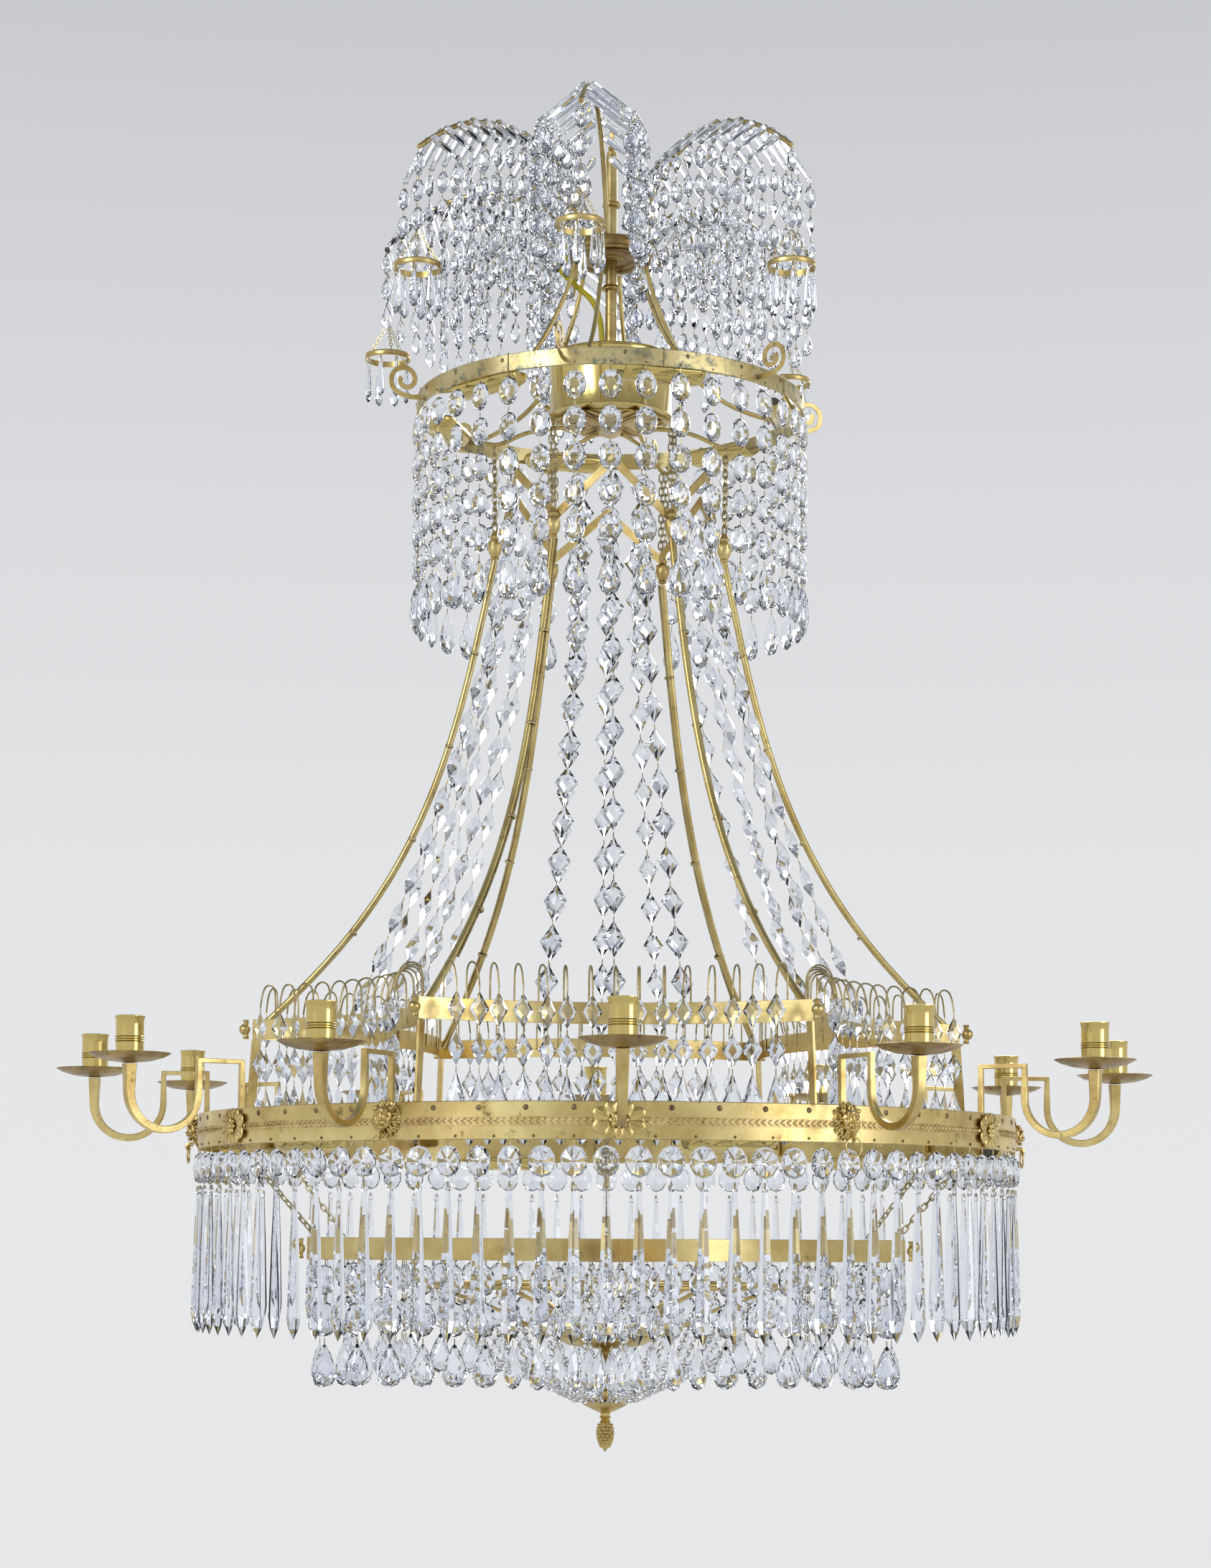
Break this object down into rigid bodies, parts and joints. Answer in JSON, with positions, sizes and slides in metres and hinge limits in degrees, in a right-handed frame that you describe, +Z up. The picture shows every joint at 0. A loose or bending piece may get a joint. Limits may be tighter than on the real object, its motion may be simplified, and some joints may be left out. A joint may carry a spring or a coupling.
{
  "type": "crystal chandelier",
  "caption": "Gilt-brass and cut-glass chandelier: palm crown, hooped ring, bell of garlands on curved stems, arched-wire tier, ring of candle arms and a basket with a pinecone.",
  "frame": {"origin": "centre of the hanging eye", "axes": "+Z up, -Y towards the picture's camera, +X through the hanging eye's hole"},
  "size_m": [1.0382, 1.0382, 1.2736],
  "materials": {
    "brass": "aged satin",
    "polished_brass": "polished",
    "stem_brass": "aged lacquer",
    "cut_glass": "cut and polished",
    "lamp_glass": "clear",
    "lead_sheath": "plain"
  },
  "bodies": {
    "frame": {"hanging_eye": "brass", "centre_tube": "brass", "crown_plate": "brass", "frond_spines": "brass", "frond_barbs": "cut_glass", "frond_strings": "cut_glass", "drum": "polished_brass", "rosette_plate": "brass", "spider_arms": "brass", "upper_ring": "brass", "stay_rods": "brass", "volute_scrolls": "brass", "upper_ovals": "cut_glass", "upper_pears": "cut_glass", "lamp_shades": "polished_brass", "lamp_bulbs": "lamp_glass", "hanging_chains": "brass", "stem_sockets": "brass", "stems": "stem_brass", "zigzag_crown": "brass", "garland_lozenges": "cut_glass", "tier_ring": "brass", "corner_balls": "brass", "corner_posts": "brass", "arched_wires": "brass", "tier_drops": "cut_glass", "main_ring": "brass", "lion_masks": "brass", "rosettes": "brass", "button_drops": "cut_glass", "spear_prisms": "cut_glass", "candle_arms": "brass", "drip_pans": "brass", "candle_nozzles": "brass", "lower_ring": "brass", "lower_strings": "cut_glass", "basket_hoop": "brass", "basket_arms": "brass", "basket_cup": "brass", "basket_strings": "cut_glass", "finial": "brass", "supply_lead": "lead_sheath"},
    "small_hoop_1": {"crown_hoop_1": "brass", "hoop_drops_1": "cut_glass"},
    "small_hoop_2": {"crown_hoop_2": "brass", "hoop_drops_2": "cut_glass"},
    "small_hoop_3": {"crown_hoop_3": "brass", "hoop_drops_3": "cut_glass"},
    "small_hoop_4": {"crown_hoop_4": "brass", "hoop_drops_4": "cut_glass"},
    "small_hoop_5": {"crown_hoop_5": "brass", "hoop_drops_5": "cut_glass"},
    "small_hoop_6": {"crown_hoop_6": "brass", "hoop_drops_6": "cut_glass"},
    "lion_ring_1": {"lion_ring_1": "brass"},
    "lion_ring_2": {"lion_ring_2": "brass"},
    "lion_ring_3": {"lion_ring_3": "brass"},
    "lion_ring_4": {"lion_ring_4": "brass"},
    "lion_ring_5": {"lion_ring_5": "brass"},
    "lion_ring_6": {"lion_ring_6": "brass"}
  },
  "joints": [
    {"name": "hoop_swing_1", "type": "hinge", "parent": "frame", "child": "small_hoop_1", "pos_m": [-0.02779, -0.2263, -0.05125], "axis": [-0.9925, 0.1219, 0], "range_deg": [-12, 12]},
    {"name": "hoop_swing_2", "type": "hinge", "parent": "frame", "child": "small_hoop_2", "pos_m": [0.16401, -0.15838, -0.06525], "axis": [-0.6947, -0.7193, 0], "range_deg": [-12, 12]},
    {"name": "hoop_swing_3", "type": "hinge", "parent": "frame", "child": "small_hoop_3", "pos_m": [0.17967, 0.14037, -0.08625], "axis": [0.6157, -0.788, 0], "range_deg": [-12, 12]},
    {"name": "hoop_swing_4", "type": "hinge", "parent": "frame", "child": "small_hoop_4", "pos_m": [-0.03959, 0.22454, -0.08325], "axis": [0.9848, 0.1736, 0], "range_deg": [-12, 12]},
    {"name": "hoop_swing_5", "type": "hinge", "parent": "frame", "child": "small_hoop_5", "pos_m": [-0.21917, 0.06284, -0.08625], "axis": [0.2756, 0.9613, 0], "range_deg": [-12, 12]},
    {"name": "hoop_swing_6", "type": "hinge", "parent": "frame", "child": "small_hoop_6", "pos_m": [-0.17719, -0.14349, -0.06325], "axis": [-0.6293, 0.7771, 0], "range_deg": [-12, 12]},
    {"name": "lion_ring_swing_1", "type": "hinge", "parent": "frame", "child": "lion_ring_1", "pos_m": [0.20626, -0.33658, -0.97747], "axis": [-0.8526, -0.5225, 0], "range_deg": [0, 70]},
    {"name": "lion_ring_swing_2", "type": "hinge", "parent": "frame", "child": "lion_ring_2", "pos_m": [0.39461, 0.01033, -0.97747], "axis": [0.0262, -0.9997, 0], "range_deg": [0, 70]},
    {"name": "lion_ring_swing_3", "type": "hinge", "parent": "frame", "child": "lion_ring_3", "pos_m": [0.18836, 0.34691, -0.97747], "axis": [0.8788, -0.4772, 0], "range_deg": [0, 70]},
    {"name": "lion_ring_swing_4", "type": "hinge", "parent": "frame", "child": "lion_ring_4", "pos_m": [-0.20626, 0.33658, -0.97747], "axis": [0.8526, 0.5225, 0], "range_deg": [0, 70]},
    {"name": "lion_ring_swing_5", "type": "hinge", "parent": "frame", "child": "lion_ring_5", "pos_m": [-0.39461, -0.01033, -0.97747], "axis": [-0.0262, 0.9997, 0], "range_deg": [0, 70]},
    {"name": "lion_ring_swing_6", "type": "hinge", "parent": "frame", "child": "lion_ring_6", "pos_m": [-0.18836, -0.34691, -0.97747], "axis": [-0.8788, 0.4772, 0], "range_deg": [0, 70]}
  ]
}
